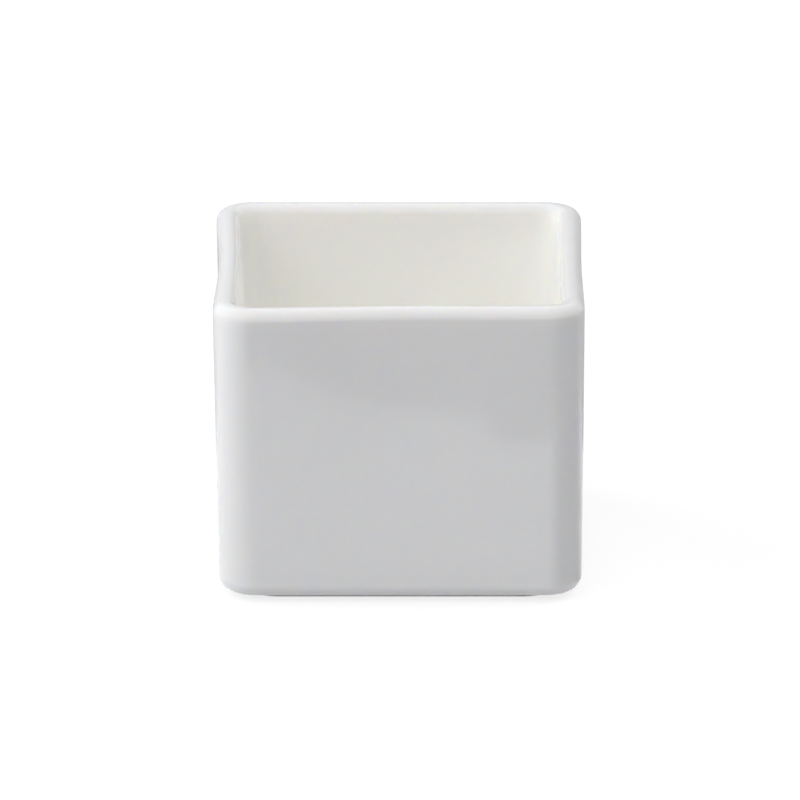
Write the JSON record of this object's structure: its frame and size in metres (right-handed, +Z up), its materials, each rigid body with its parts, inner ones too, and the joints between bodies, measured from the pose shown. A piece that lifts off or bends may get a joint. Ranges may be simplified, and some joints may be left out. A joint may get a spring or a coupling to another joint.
{
  "type": "soy sauce dish",
  "caption": "Small deep square dish in white glazed porcelain with rounded edges and an open top, for soy sauce or another dip, standing on a bare foot ring.",
  "frame": {"origin": "middle of the foot ring's bearing face, on the table", "axes": "+Z up out of the open top; the four walls face +X, -X, +Y and -Y, and the pictured wall faces -Y"},
  "size_m": [0.06, 0.06, 0.05],
  "materials": {
    "bisque": "fired unglazed porcelain, fine and matt, bare only on the foot ring",
    "glaze": "glossy clear glaze over white porcelain, faintly warm where it lies thick"
  },
  "bodies": {
    "root": {"porcelain_body": "bisque", "glaze_coat": "glaze", "foot_well_glaze": "glaze"}
  },
  "joints": []
}
